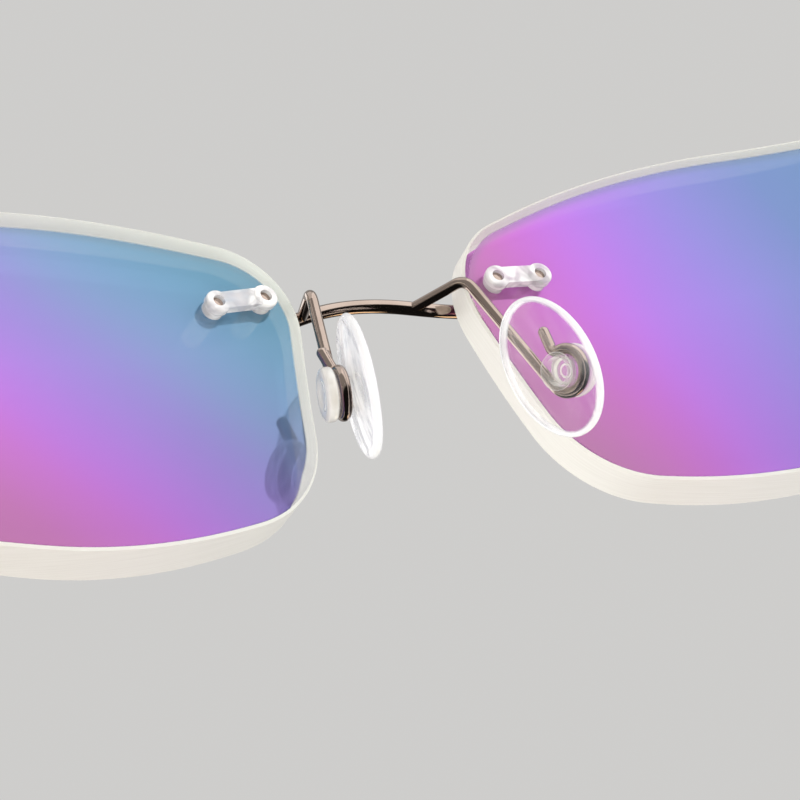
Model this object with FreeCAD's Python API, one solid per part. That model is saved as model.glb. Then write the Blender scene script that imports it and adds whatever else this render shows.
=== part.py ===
import FreeCAD, Part
import math
import os

from FreeCAD import Matrix, Rotation, Vector

# Rimless spectacles, in millimetres. X points to the wearer's left, Y backwards to the wearer
# and Z up. Each side is made once, on the wearer's left, and mirrored for the right. The
# working origin is half way between the lenses, level with the middle of the lens outline; at
# the end the whole object is set down on z = 0 with the origin under the middle of its box.

# Lenses
BRIDGE_GAP = 17.0          # narrowest distance between the lenses
LENS_WIDTH = 51.0          # boxed width of one lens
LENS_RISE = 18.0           # top of the outline above the working origin
LENS_DROP = 14.8           # bottom of the outline below it
LENS_WRAP = 3.8            # degrees each lens turns back around the face
NOSE_EDGE = 3.0            # thickness at the nose side, level with the origin
OUTER_EDGE = 2.8           # thickness at the outer side
BACK_RADIUS = 112.0        # hollow surface on the wearer's side
FRONT_RADIUS = 65.0        # domed surface
POLE_FROM_NOSE = 17.4      # back surface's pole, from the nose side of the lens
EDGE_BEVEL = 0.22          # small safety bevel round both rims of the ground edge

# Corners of the lens's outline: out from its nose or outer side, below its top or above its
# bottom, and the radius of the arc there
NOSE_TOP_CORNER = (-1.55, 6.8, 7.7)
TOP_CORNER = (17.7, -0.1, 60.0)
OUTER_TOP_CORNER = (0.3, 1.3, 9.0)
OUTER_BOTTOM_CORNER = (-2.6, 2.0, 12.0)
BOTTOM_CORNER = (21.4, -0.1, 78.0)
NOSE_BOTTOM_CORNER = (4.2, 2.9, 10.4)

# Drilled mounting: nylon double plugs pressed in from behind, metal pins pushed in from the front
HOLE_LEVEL = 7.65          # drilled holes above the working origin
HOLE_SPACING = 4.3
HOLE_INSET = 2.9           # lens edge to the centre of the nearer hole, measured level
SLEEVE_RADIUS = 0.85
SLEEVE_CLEARANCE = 0.02
SLEEVE_RECESS = 0.5        # sleeve's front end below the lens's front
PIN_RADIUS = 0.5
PIN_CLEARANCE = 0.02
PLUG_HEAD_STEP = 0.25      # head's radius beyond the sleeve's
PLUG_HEAD_HEIGHT = 1.35    # above the lens's back surface
PLUG_HEAD_FILLET = 0.22
PLUG_NECK_STEP = 0.1       # neck's radius beyond the sleeve's
PLUG_NECK_HEIGHT = 0.55
PLUG_BAR_WIDTH = 1.6       # saddle that joins the two heads
PLUG_BAR_HEIGHT = 0.8
PIN_STAND_BACK = 0.35      # pin's end below the top of the plug's head

# Bridge, one bent wire
WIRE_RADIUS = 0.6
WIRE_TO_LENS = 0.06        # air between the wire and the lens's front
BRIDGE_ARCH = 2.3          # middle of the bridge above the drilled holes
BRIDGE_FORWARD = 0.9       # middle of the bridge in front of its knees
BRIDGE_KNEE_INSET = 0.7    # lens edge in to the knee, where the arch meets the lens's run
BRIDGE_KNEE_SHARE = 0.2    # of the run from knee to crown, taken by the knee's bend
BRIDGE_CROWN_SHARE = 0.62  # and by the crown's

# Pad arms, one bent wire each, brazed to the back of the bridge
ARM_RADIUS = 0.48
ARM_WELD_INSET = 3.1       # lens edge in to the braze
ARM_ELBOW_INSET = 1.0      # lens edge in to the elbow
ARM_ELBOW_BACK = 2.1       # elbow behind the working origin
ARM_ELBOW_DROP = 0.45      # elbow below the drilled holes
ARM_ELBOW_RADIUS = 1.5
LOOP_OPENING = 75.0        # degrees above level, on the wearer's side, where the loop ends
TAIL_REACH = 0.69          # loop's end to the corner of the tail's bend
TAIL_BEND_SHARE = 0.9      # of that reach, taken by the bend
TAIL_LENGTH = 2.3
TAIL_LEAN = 14.0           # degrees the tail leans away from the pad

# Nose pads: a soft oval pad moulded on a clear core, whose post sits in the arm's loop
PAD_LENGTH = 13.0
PAD_WIDTH = 8.9
PAD_OUTSET = 1.0           # pad's middle outside the lens edge
PAD_SETBACK = 5.6          # pad's middle behind the working origin
PAD_DROP = 4.3             # pad's middle below it
PAD_SPLAY = 16.3           # degrees the pads open towards the wearer, seen from above
PAD_TILT = 8.2             # degrees the pads open downwards, seen from the front
PAD_LEAN = 4.0             # degrees the long axis leans back at its top
PAD_NOSE_SIDE = 1.2        # crown of the pad's nose side, from its middle plane
PAD_ARM_SIDE = 0.6         # crown of the other side
PAD_RIM = 0.65             # thickness at the two ends of the oval
PAD_EDGE_FILLET = 0.28
POST_DROP = 0.5            # post below the middle of the pad
POST_RADIUS = 1.3
POST_CLEARANCE = 0.05
LOOP_TO_PAD = 0.25
LOOP_TO_BUTTON = 0.1
BUTTON_RADIUS = 2.25
BUTTON_THICKNESS = 1.0
BUTTON_FILLET = 0.35
CORE_FOOT_RADIUS = 1.6
CORE_FOOT_THICKNESS = 0.4

# End pieces and hinges
HINGE_OUT = 5.6            # hinge axis outside the lens edge
HINGE_BACK = 5.35          # hinge axis behind the back of the lens edge
END_BEND_RADIUS = 2.6
KNUCKLE_RADIUS = 1.5
END_KNUCKLE_HEIGHT = 1.3
MIDDLE_KNUCKLE_HEIGHT = 1.5
KNUCKLE_GAP = 0.05
SCREW_RADIUS = 0.55
SCREW_CLEARANCE = 0.05
SCREW_HEAD_STEP = 0.5      # head's radius beyond the shank's
SCREW_HEAD_HEIGHT = 0.5
SCREW_SLOT_WIDTH = 0.25
SCREW_SLOT_DEPTH = 0.25
BLOCK_WIDTH = 2.4
BLOCK_LENGTH = 2.4
BLOCK_TO_KNUCKLE = 0.3
BLOCK_FILLET = 0.35

# Temples
TEMPLE_TO_BEND = 93.0      # hinge to ear bend, level
TEMPLE_WIRE_RADIUS = 0.7
TEMPLE_SOCKET = 2.6        # wire pressed into the hinge leaf
EAR_LENGTH = 43.0          # ear bend to the end of the tip
EAR_ANGLE = 40.0           # degrees below level
EAR_BEND_RADIUS = 24.0
TIP_RADIUS = 1.9
TIP_BEFORE_BEND = 18.0     # sleeve's front end ahead of the ear bend
TIP_WALL_END = 5.0         # wire's end short of the sleeve's end
TIP_CUFF_LENGTH = 3.0
TIP_CUFF_RADIUS = 1.35

LENS_HALF_GAP = BRIDGE_GAP / 2
THROUGH = 40.0             # half the length of a cutter that has to pass right through
HINGE_HALF_HEIGHT = END_KNUCKLE_HEIGHT + KNUCKLE_GAP + MIDDLE_KNUCKLE_HEIGHT / 2


def unit(vector):
    """The vector's direction, one long."""
    return vector * (1 / vector.Length)


def rounded_outline(corners):
    """A closed wire through corners of (x, z, radius), with a tangent arc at each."""
    points = [Vector(x, 0, z) for x, z, _ in corners]
    radii = [radius for _, _, radius in corners]
    return rounded_wire(points, radii, closed=True)


def rounded_wire(points, radii, closed=False):
    """Straight runs through the points, joined by tangent arcs of the given radii."""
    count = len(points)
    ends = []
    for index, point in enumerate(points):
        if not closed and index in (0, count - 1):
            ends.append((point, None, point))
            continue
        back = unit(points[index - 1] - point)
        on = unit(points[(index + 1) % count] - point)
        half = back.getAngle(on) / 2
        reach = radii[index] / math.tan(half)
        middle = point + unit(back + on) * (radii[index] / math.sin(half) - radii[index])
        ends.append((point + back * reach, middle, point + on * reach))
    edges = []
    for index, (start, middle, finish) in enumerate(ends):
        if middle is not None:
            edges.append(Part.Arc(start, middle, finish).toShape())
        if closed or index < count - 1:
            following = ends[(index + 1) % count][0]
            if finish.distanceToPoint(following) > 1e-6:
                edges.append(Part.LineSegment(finish, following).toShape())
    return Part.Wire(Part.__sortEdges__(edges))


def rod(wire, radius):
    """A round rod along a wire that starts at its first vertex."""
    first = wire.OrderedEdges[0]
    start = wire.OrderedVertexes[0].Point
    nearer_start = first.valueAt(first.FirstParameter).distanceToPoint(start) < 1e-6
    at_start = first.FirstParameter if nearer_start else first.LastParameter
    section = Part.Wire(Part.makeCircle(radius, start, first.tangentAt(at_start)))
    return wire.makePipeShell([section], True, False, 2)


def across(points, radii, radius):
    """A round rod through points with rounded corners."""
    return rod(rounded_wire(points, radii), radius)


def drum(radius, base, direction, length):
    """A cylinder from a base point."""
    return Part.makeCylinder(radius, length, base, direction)


# The lens stands in its own axes: x outwards from the back surface's pole, y back, z up.
LENS_TURN = Rotation(Vector(0, 0, 1), LENS_WRAP)
POLE_X = LENS_HALF_GAP + POLE_FROM_NOSE
LENS_NOSE_X = -POLE_FROM_NOSE
LENS_OUTER_X = LENS_NOSE_X + LENS_WIDTH


def from_lens(x, y, z):
    """A point given in the lens's axes, in the working axes."""
    return LENS_TURN.multVec(Vector(x, y, z)) + Vector(POLE_X, 0, 0)


LENS_BACKWARDS = LENS_TURN.multVec(Vector(0, 1, 0))

# The two edge thicknesses set how far the front surface's pole lies outside the back one's,
# and how far apart the two surfaces are.
CURVES = 0.5 / BACK_RADIUS - 0.5 / FRONT_RADIUS
FRONT_POLE_X = FRONT_RADIUS / LENS_WIDTH * (
    (LENS_NOSE_X**2 - LENS_OUTER_X**2) * CURVES - (NOSE_EDGE - OUTER_EDGE))


def back_surface(x, z):
    """Depth of the lens's back surface in its own axes."""
    return BACK_RADIUS - math.sqrt(BACK_RADIUS**2 - x**2 - z**2)


def front_fall(x, z):
    """Distance, front to back, from a point of the front surface to the level of its centre."""
    return math.sqrt(FRONT_RADIUS**2 - (x - FRONT_POLE_X)**2 - z**2)


FRONT_CENTRE_Y = back_surface(LENS_OUTER_X, 0) - OUTER_EDGE + front_fall(LENS_OUTER_X, 0)


def front_surface(x, z):
    """Depth of the lens's front surface in its own axes."""
    return FRONT_CENTRE_Y - front_fall(x, z)


def lens_outline():
    """The lens's outline: a squared nose side that slants outwards at the bottom, a top edge
    that falls towards the nose, and a softer outer side."""
    top = (LENS_RISE, -1)
    bottom = (-LENS_DROP, 1)
    corners = []
    for side, (level, inwards), (out, inset, radius) in (
        (LENS_NOSE_X, top, NOSE_TOP_CORNER),
        (LENS_NOSE_X, top, TOP_CORNER),
        (LENS_OUTER_X, top, OUTER_TOP_CORNER),
        (LENS_OUTER_X, bottom, OUTER_BOTTOM_CORNER),
        (LENS_NOSE_X, bottom, BOTTOM_CORNER),
        (LENS_NOSE_X, bottom, NOSE_BOTTOM_CORNER),
    ):
        corners.append((side + out, level + inwards * inset, radius))
    return rounded_outline(corners)


def outline_x(wire, level, outer):
    """Where the outline crosses a level, on its nose or its outer side."""
    box = wire.BoundBox
    line = Part.LineSegment(Vector(box.XMin, 0, level), Vector(box.XMax, 0, level)).toShape()
    crossings = [vertex.Point.x for vertex in line.common(Part.Face(wire)).Vertexes]
    return max(crossings) if outer else min(crossings)


OUTLINE = lens_outline()
NOSE_HOLES = [outline_x(OUTLINE, HOLE_LEVEL, False) + HOLE_INSET + step * HOLE_SPACING
              for step in (0, 1)]
OUTER_HOLES = [outline_x(OUTLINE, HOLE_LEVEL, True) - HOLE_INSET - step * HOLE_SPACING
               for step in (0, 1)]


def make_lens():
    """A lens ground from a round blank: its outline cut through a domed front and hollow back."""
    blank = Part.Face(OUTLINE).extrude(Vector(0, 2 * THROUGH, 0))
    blank.translate(Vector(0, -THROUGH, 0))
    front_centre = Vector(FRONT_POLE_X, FRONT_CENTRE_Y, 0)
    blank = blank.common(Part.makeSphere(FRONT_RADIUS, front_centre))
    blank = blank.cut(Part.makeSphere(BACK_RADIUS, Vector(0, BACK_RADIUS, 0)))
    rims = [edge for face in blank.Faces if isinstance(face.Surface, Part.Sphere)
            for edge in face.Edges if edge.Length > 0.5]
    lens = blank.makeChamfer(EDGE_BEVEL, rims)
    bore = SLEEVE_RADIUS + SLEEVE_CLEARANCE
    for x in NOSE_HOLES + OUTER_HOLES:
        start = Vector(x, -THROUGH, HOLE_LEVEL)
        lens = lens.cut(drum(bore, start, Vector(0, 1, 0), 2 * THROUGH))
    lens.Placement = FreeCAD.Placement(Vector(POLE_X, 0, 0), LENS_TURN)
    return lens.Solids[0]


def make_plug(holes, lens):
    """A nylon double plug: two bored sleeves through the lens, with stepped heads on its back
    that a low saddle joins."""
    solids = []
    for x in holes:
        back = back_surface(x, HOLE_LEVEL)
        front = front_surface(x, HOLE_LEVEL) + SLEEVE_RECESS
        sleeve = from_lens(x, front, HOLE_LEVEL)
        solids.append(drum(SLEEVE_RADIUS, sleeve, LENS_BACKWARDS, back - front))
        neck = from_lens(x, back - PLUG_NECK_HEIGHT, HOLE_LEVEL)
        neck_radius = SLEEVE_RADIUS + PLUG_NECK_STEP
        solids.append(drum(neck_radius, neck, LENS_BACKWARDS, 2 * PLUG_NECK_HEIGHT))
        head = drum(
            SLEEVE_RADIUS + PLUG_HEAD_STEP,
            from_lens(x, back + PLUG_NECK_HEIGHT, HOLE_LEVEL),
            LENS_BACKWARDS,
            PLUG_HEAD_HEIGHT - PLUG_NECK_HEIGHT,
        )
        rims = [edge for edge in head.Edges if isinstance(edge.Curve, Part.Circle)]
        solids.append(head.makeFillet(PLUG_HEAD_FILLET, rims))
    ends = [from_lens(x, back_surface(x, HOLE_LEVEL) + PLUG_NECK_HEIGHT, HOLE_LEVEL)
            for x in (min(holes), max(holes))]
    along = unit(ends[1] - ends[0])
    saddle = Part.makeBox(ends[0].distanceToPoint(ends[1]), PLUG_BAR_HEIGHT, PLUG_BAR_WIDTH)
    saddle.translate(Vector(0, 0, -PLUG_BAR_WIDTH / 2))
    saddle.Placement = FreeCAD.Placement(
        ends[0], Rotation(Vector(1, 0, 0), along)).multiply(saddle.Placement)
    plug = solids[0].fuse(solids[1:] + [saddle])
    bore = PIN_RADIUS + PIN_CLEARANCE
    for x in holes:
        start = from_lens(x, -THROUGH, HOLE_LEVEL)
        plug = plug.cut(drum(bore, start, LENS_BACKWARDS, 2 * THROUGH))
    return plug.cut(lens).removeSplitter().Solids[0]


def wire_on_lens(x):
    """The axis of a mounting wire where it runs along the lens's sloping front."""
    stand_off = (WIRE_RADIUS + WIRE_TO_LENS) * FRONT_RADIUS / front_fall(x, HOLE_LEVEL)
    return from_lens(x, front_surface(x, HOLE_LEVEL) - stand_off, HOLE_LEVEL)


def pin_end(x):
    """A pin's far end, inside the head of its plug."""
    return from_lens(x, back_surface(x, HOLE_LEVEL) + PLUG_HEAD_HEIGHT - PIN_STAND_BACK,
                     HOLE_LEVEL)


def pin(x):
    """A straight pin from a mounting wire's axis into its plug."""
    start = wire_on_lens(x)
    return drum(PIN_RADIUS, start, LENS_BACKWARDS, start.distanceToPoint(pin_end(x)))


def mirrored(shape):
    """The same piece on the wearer's right."""
    return shape.mirror(Vector(0, 0, 0), Vector(1, 0, 0))


def opposite(point):
    """The same point on the wearer's right."""
    return Vector(-point.x, point.y, point.z)


def bridge_knee():
    """Where the bridge's arch meets the run along the lens."""
    lens_side = wire_on_lens(min(NOSE_HOLES))
    outward = unit(wire_on_lens(max(NOSE_HOLES)) - lens_side)
    back_by = (lens_side.x - LENS_HALF_GAP + BRIDGE_KNEE_INSET) / outward.x
    return lens_side - outward * back_by


def bridge_crown():
    """The middle of the bridge."""
    return Vector(0, bridge_knee().y - BRIDGE_FORWARD, HOLE_LEVEL + BRIDGE_ARCH)


def bend_radius(before, corner, after, reach):
    """The radius of a bend that starts a given reach before its corner."""
    return reach * math.tan((before - corner).getAngle(after - corner) / 2)


def make_bridge():
    """The bridge: one arched wire over the fronts of both lenses, with four pins behind it."""
    far = wire_on_lens(max(NOSE_HOLES))
    knee = bridge_knee()
    crown = bridge_crown()
    run = knee.distanceToPoint(crown)
    knee_radius = bend_radius(far, knee, crown, BRIDGE_KNEE_SHARE * run)
    crown_radius = bend_radius(knee, crown, opposite(knee), BRIDGE_CROWN_SHARE * run)
    points = [far, knee, crown, opposite(knee), opposite(far)]
    radii = [0, knee_radius, crown_radius, knee_radius, 0]
    bridge = across(points, radii, WIRE_RADIUS)
    pieces = []
    for x in NOSE_HOLES:
        pieces += [pin(x), mirrored(pin(x))]
    cap = Part.makeSphere(WIRE_RADIUS, far)
    pieces += [cap, mirrored(cap)]
    return bridge.fuse(pieces).removeSplitter().Solids[0]


# The pad's axes: out from the nose, along the pad, and towards the wearer
PAD_OUT = Vector(
    math.cos(math.radians(PAD_TILT)) * math.cos(math.radians(PAD_SPLAY)),
    -math.cos(math.radians(PAD_TILT)) * math.sin(math.radians(PAD_SPLAY)),
    math.sin(math.radians(PAD_TILT)),
)
PAD_UP = Rotation(PAD_OUT, PAD_LEAN).multVec(
    unit(Vector(0, 0, 1) - PAD_OUT * PAD_OUT.z))
PAD_BACK = PAD_UP.cross(PAD_OUT)
PAD_CENTRE = Vector(LENS_HALF_GAP + PAD_OUTSET, PAD_SETBACK, -PAD_DROP)
LOOP_RADIUS = POST_RADIUS + POST_CLEARANCE + ARM_RADIUS
LOOP_LEVEL = PAD_ARM_SIDE + LOOP_TO_PAD + ARM_RADIUS
BUTTON_LEVEL = LOOP_LEVEL + ARM_RADIUS + LOOP_TO_BUTTON


def on_pad(out, up, back):
    """A point given from the pad's middle along the pad's axes."""
    return PAD_CENTRE + PAD_OUT * out + PAD_UP * up + PAD_BACK * back


def in_loop(angle, radius=LOOP_RADIUS):
    """A point on the arm's loop; 0 degrees is the wearer's side and 90 the top."""
    turn = math.radians(angle)
    return on_pad(LOOP_LEVEL, radius * math.sin(turn) - POST_DROP, radius * math.cos(turn))


def make_pad_arm(bridge):
    """A pad arm: from its braze on the bridge back to an elbow, down to the post, round it in
    an open loop, and up in a short tail."""
    knee = bridge_knee()
    crown = bridge_crown()
    along = (knee.x - LENS_HALF_GAP + ARM_WELD_INSET) / (knee.x - crown.x)
    weld = knee + (crown - knee) * along
    elbow = Vector(LENS_HALF_GAP - ARM_ELBOW_INSET, ARM_ELBOW_BACK, HOLE_LEVEL - ARM_ELBOW_DROP)
    start = in_loop(180)
    opening = math.radians(LOOP_OPENING)
    finish = in_loop(LOOP_OPENING)
    heading = PAD_BACK * -math.sin(opening) + PAD_UP * math.cos(opening)
    corner = finish + heading * TAIL_REACH
    lean = math.radians(TAIL_LEAN)
    rising = PAD_UP * math.cos(lean) + PAD_OUT * math.sin(lean)
    tail = corner + rising * TAIL_LENGTH
    tail_radius = bend_radius(finish, corner, tail, TAIL_BEND_SHARE * TAIL_REACH)
    lead = rounded_wire([weld, elbow, start], [0, ARM_ELBOW_RADIUS, 0])
    loop = Part.Arc(start, in_loop(270 + (LOOP_OPENING - 90) / 2), finish).toShape()
    end = rounded_wire([finish, corner, tail], [0, tail_radius, 0])
    arm = rod(lead, ARM_RADIUS)
    parts = [
        rod(Part.Wire([loop]), ARM_RADIUS),
        rod(end, ARM_RADIUS),
        Part.makeSphere(ARM_RADIUS, start),
        Part.makeSphere(ARM_RADIUS, finish),
        Part.makeSphere(ARM_RADIUS, tail),
    ]
    return arm.fuse(parts).cut(bridge).removeSplitter().Solids[0]


def make_pad_core():
    """The pad's clear core: a foot moulded into the pad, a round post and a button."""
    foot_level = PAD_ARM_SIDE - 2 * CORE_FOOT_THICKNESS
    base = on_pad(foot_level, -POST_DROP, 0)
    foot = drum(CORE_FOOT_RADIUS, base, PAD_OUT, CORE_FOOT_THICKNESS)
    post_length = BUTTON_LEVEL - foot_level + BUTTON_THICKNESS / 2
    post = drum(POST_RADIUS, base, PAD_OUT, post_length)
    button = drum(BUTTON_RADIUS, on_pad(BUTTON_LEVEL, -POST_DROP, 0), PAD_OUT, BUTTON_THICKNESS)
    rims = [edge for edge in button.Edges if isinstance(edge.Curve, Part.Circle)]
    button = button.makeFillet(BUTTON_FILLET, rims)
    return foot.fuse([post, button]).removeSplitter().Solids[0]


def make_nose_pad(core):
    """The soft pad: a crowned oval, with a pocket for the core's foot."""
    oval = Part.Ellipse(Vector(0, 0, 0), PAD_LENGTH / 2, PAD_WIDTH / 2).toShape()
    blank = Part.Face(Part.Wire([oval])).extrude(Vector(0, 0, 2 * THROUGH))
    blank.translate(Vector(0, 0, -THROUGH))
    sag = (PAD_NOSE_SIDE + PAD_ARM_SIDE - PAD_RIM) / 2
    crown_radius = ((PAD_LENGTH / 2)**2 + sag**2) / (2 * sag)
    nose_side = Part.makeSphere(crown_radius, Vector(0, 0, crown_radius - PAD_NOSE_SIDE))
    arm_side = Part.makeSphere(crown_radius, Vector(0, 0, PAD_ARM_SIDE - crown_radius))
    pad = blank.common(nose_side).common(arm_side)
    rims = [edge for edge in pad.Edges if edge.Length > PAD_WIDTH]
    pad = pad.makeFillet(PAD_EDGE_FILLET, rims)
    front = PAD_BACK * -1
    axes = Matrix(
        PAD_UP.x, front.x, PAD_OUT.x, PAD_CENTRE.x,
        PAD_UP.y, front.y, PAD_OUT.y, PAD_CENTRE.y,
        PAD_UP.z, front.z, PAD_OUT.z, PAD_CENTRE.z,
        0, 0, 0, 1,
    )
    pad.Placement = FreeCAD.Placement(axes)
    return pad.cut(core).Solids[0]


EDGE_X = outline_x(OUTLINE, HOLE_LEVEL, True)
LENS_EDGE = from_lens(EDGE_X, back_surface(EDGE_X, HOLE_LEVEL), HOLE_LEVEL)
HINGE = LENS_EDGE + Vector(HINGE_OUT, HINGE_BACK, 0)


def block(near, far):
    """A hinge block on the hinge's line, between two distances behind the pivot."""
    solid = Part.makeBox(BLOCK_WIDTH, far - near, 2 * HINGE_HALF_HEIGHT)
    solid.translate(HINGE + Vector(-BLOCK_WIDTH / 2, near, -HINGE_HALF_HEIGHT))
    return solid.makeFillet(BLOCK_FILLET, solid.Edges)


def knuckle(low, high, reach, bore):
    """A hinge knuckle with the web that ties it to its block, which lies a signed reach behind."""
    base = HINGE + Vector(0, 0, low)
    barrel = drum(KNUCKLE_RADIUS, base, Vector(0, 0, 1), high - low)
    web = Part.makeBox(BLOCK_WIDTH, abs(reach), high - low)
    web.translate(base + Vector(-BLOCK_WIDTH / 2, min(reach, 0), 0))
    hole = drum(bore, base, Vector(0, 0, 1), high - low)
    return barrel.fuse(web).cut(hole)


BLOCK_NEAR = KNUCKLE_RADIUS + BLOCK_TO_KNUCKLE
MIDDLE_HALF = MIDDLE_KNUCKLE_HEIGHT / 2
OPEN_BORE = SCREW_RADIUS + SCREW_CLEARANCE


def make_end_piece():
    """An end piece: a wire along the lens's front with two pins, bent back round the lens's
    outer edge to a block with the two outer knuckles of the hinge."""
    inner = wire_on_lens(min(OUTER_HOLES))
    outer = wire_on_lens(max(OUTER_HOLES))
    along = unit(outer - inner)
    corner = inner + along * ((HINGE.x - inner.x) / along.x)
    back = HINGE + Vector(0, -BLOCK_NEAR - BLOCK_LENGTH / 2, 0)
    wire = across([inner, corner, back], [0, END_BEND_RADIUS, 0], WIRE_RADIUS)
    parts = [Part.makeSphere(WIRE_RADIUS, inner), block(-BLOCK_NEAR - BLOCK_LENGTH, -BLOCK_NEAR)]
    parts += [pin(x) for x in OUTER_HOLES]
    parts.append(knuckle(MIDDLE_HALF + KNUCKLE_GAP, HINGE_HALF_HEIGHT, -BLOCK_NEAR, OPEN_BORE))
    parts.append(knuckle(-HINGE_HALF_HEIGHT, -MIDDLE_HALF - KNUCKLE_GAP, -BLOCK_NEAR,
                         SCREW_RADIUS))
    return wire.fuse(parts).removeSplitter().Solids[0]


def make_hinge_screw():
    """The hinge screw: a slotted head on the top knuckle, threaded into the bottom one."""
    top = HINGE + Vector(0, 0, HINGE_HALF_HEIGHT)
    shank = drum(SCREW_RADIUS, top, Vector(0, 0, -1), 2 * HINGE_HALF_HEIGHT)
    head_radius = SCREW_RADIUS + SCREW_HEAD_STEP
    head = drum(head_radius, top, Vector(0, 0, 1), SCREW_HEAD_HEIGHT)
    slot = Part.makeBox(3 * head_radius, SCREW_SLOT_WIDTH, SCREW_SLOT_DEPTH)
    slot.translate(top + Vector(-1.5 * head_radius, -SCREW_SLOT_WIDTH / 2,
                                SCREW_HEAD_HEIGHT - SCREW_SLOT_DEPTH))
    return shank.fuse(head).cut(slot).removeSplitter().Solids[0]


def temple_points():
    """The temple wire's line: its start in the hinge leaf, the ear bend and the tip's end. The
    end of the tip is level with the bottom of the lenses, so the spectacles stand on all four."""
    start = HINGE + Vector(0, BLOCK_NEAR, 0)
    drop = math.radians(EAR_ANGLE)
    tip_level = OUTLINE.BoundBox.ZMin + TIP_RADIUS
    end = Vector(HINGE.x, HINGE.y + TEMPLE_TO_BEND + EAR_LENGTH * math.cos(drop), tip_level)
    bend = end - Vector(0, math.cos(drop), -math.sin(drop)) * EAR_LENGTH
    return start, bend, end


def make_hinge_leaf(temple_wire):
    """The temple's hinge leaf: the middle knuckle, and a block that holds the temple wire."""
    leaf = knuckle(-MIDDLE_HALF, MIDDLE_HALF, BLOCK_NEAR, OPEN_BORE)
    far = BLOCK_NEAR + BLOCK_LENGTH + TEMPLE_SOCKET
    return leaf.fuse(block(BLOCK_NEAR, far)).cut(temple_wire).removeSplitter().Solids[0]


def make_temple_wire():
    """The temple: a round sprung wire with the ear bend, its last part inside the tip."""
    start, bend, end = temple_points()
    along = unit(bend - start)
    first = start + along * BLOCK_LENGTH
    last = end - unit(end - bend) * TIP_WALL_END
    return across([first, bend, last], [0, EAR_BEND_RADIUS, 0], TEMPLE_WIRE_RADIUS)


def make_temple_tip(temple_wire):
    """The tip: a soft sleeve over the end of the wire, with a stepped cuff and a round end."""
    start, bend, end = temple_points()
    back = unit(start - bend)
    first = bend + back * TIP_BEFORE_BEND
    last = end - unit(end - bend) * TIP_RADIUS
    sleeve = across([first, bend, last], [0, EAR_BEND_RADIUS, 0], TIP_RADIUS)
    cuff = drum(TIP_CUFF_RADIUS, first, back, TIP_CUFF_LENGTH)
    tip = sleeve.fuse([Part.makeSphere(TIP_RADIUS, last), cuff]).cut(temple_wire)
    return tip.removeSplitter().Solids[0]


def make_left_side(bridge):
    """Every piece of the wearer's left side, by name."""
    lens = make_lens()
    core = make_pad_core()
    temple_wire = make_temple_wire()
    return {
        "lens": lens,
        "bridge_plug": make_plug(NOSE_HOLES, lens),
        "temple_plug": make_plug(OUTER_HOLES, lens),
        "pad_arm": make_pad_arm(bridge),
        "pad_core": core,
        "nose_pad": make_nose_pad(core),
        "end_piece": make_end_piece(),
        "hinge_screw": make_hinge_screw(),
        "hinge_leaf": make_hinge_leaf(temple_wire),
        "temple_wire": temple_wire,
        "temple_tip": make_temple_tip(temple_wire),
    }


def make_spectacles():
    """All pieces, by node name, set down on z = 0 about the middle of the whole box."""
    bridge = make_bridge()
    pieces = {"bridge": bridge}
    for name, shape in make_left_side(bridge).items():
        pieces["left_" + name] = shape
        pieces["right_" + name] = mirrored(shape)
    box = FreeCAD.BoundBox()
    for shape in pieces.values():
        box.add(shape.optimalBoundingBox(False))
    set_down = Vector(0, -box.Center.y, -box.ZMin)
    for shape in pieces.values():
        shape.translate(set_down)
    return pieces, set_down


def main():
    pieces, set_down = make_spectacles()
    os.makedirs("parts", exist_ok=True)
    for name, shape in pieces.items():
        shape.exportStep(os.path.join("parts", name + ".step"))
        print(name, shape.ShapeType, shape.isValid(), round(shape.Volume, 3))
    start, bend, end = temple_points()
    places = {
        "set down by": set_down,
        "hinge": HINGE,
        "post": on_pad(LOOP_LEVEL, -POST_DROP, 0),
        "ear bend": bend,
        "tip end": end,
        "tip direction": unit(end - bend),
        "pad out": PAD_OUT,
        "pad middle": PAD_CENTRE,
    }
    for name, place in places.items():
        print(name, [round(value, 4) for value in place])


main()
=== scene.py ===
import math

import bmesh
import bpy
from mathutils import Matrix, Quaternion, Vector, geometry, kdtree


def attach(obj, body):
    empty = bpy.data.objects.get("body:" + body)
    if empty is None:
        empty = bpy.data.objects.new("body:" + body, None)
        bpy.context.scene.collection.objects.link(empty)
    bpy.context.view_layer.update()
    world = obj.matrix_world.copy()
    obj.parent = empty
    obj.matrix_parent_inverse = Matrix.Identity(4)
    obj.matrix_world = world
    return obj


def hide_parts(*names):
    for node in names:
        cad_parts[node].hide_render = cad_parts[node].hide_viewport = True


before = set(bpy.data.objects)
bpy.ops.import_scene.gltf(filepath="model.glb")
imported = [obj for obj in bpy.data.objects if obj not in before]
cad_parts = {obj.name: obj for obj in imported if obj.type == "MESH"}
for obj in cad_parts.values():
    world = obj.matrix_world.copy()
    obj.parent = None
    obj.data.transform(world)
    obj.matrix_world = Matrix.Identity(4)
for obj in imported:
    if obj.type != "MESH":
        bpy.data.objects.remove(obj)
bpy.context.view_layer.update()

# Rimless spectacles, in metres. X points to the wearer's left, Y backwards to the wearer and Z
# up, and the spectacles stand on z = 0. Sizes are written in millimetres and turned by MM.
MM = 0.001

# ---------------------------------------------------------------- camera
# A long lens, low behind the wearer's left shoulder, looks forwards and up at the bridge, and
# is rolled so that the bridge climbs to the right.
CAMERA_TARGET = Vector((2.03, -66.92, 11.76)) * MM
CAMERA_FORWARD = Vector((-0.5231, -0.7289, 0.4418)).normalized()
CAMERA_UP = Vector((-0.0860, 0.5611, 0.8233))
CAMERA_DISTANCE = 379 * MM
# Focal length and sensor width, in millimetres as Blender takes them.
CAMERA_LENS = 208.8
CAMERA_SENSOR = 36

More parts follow.
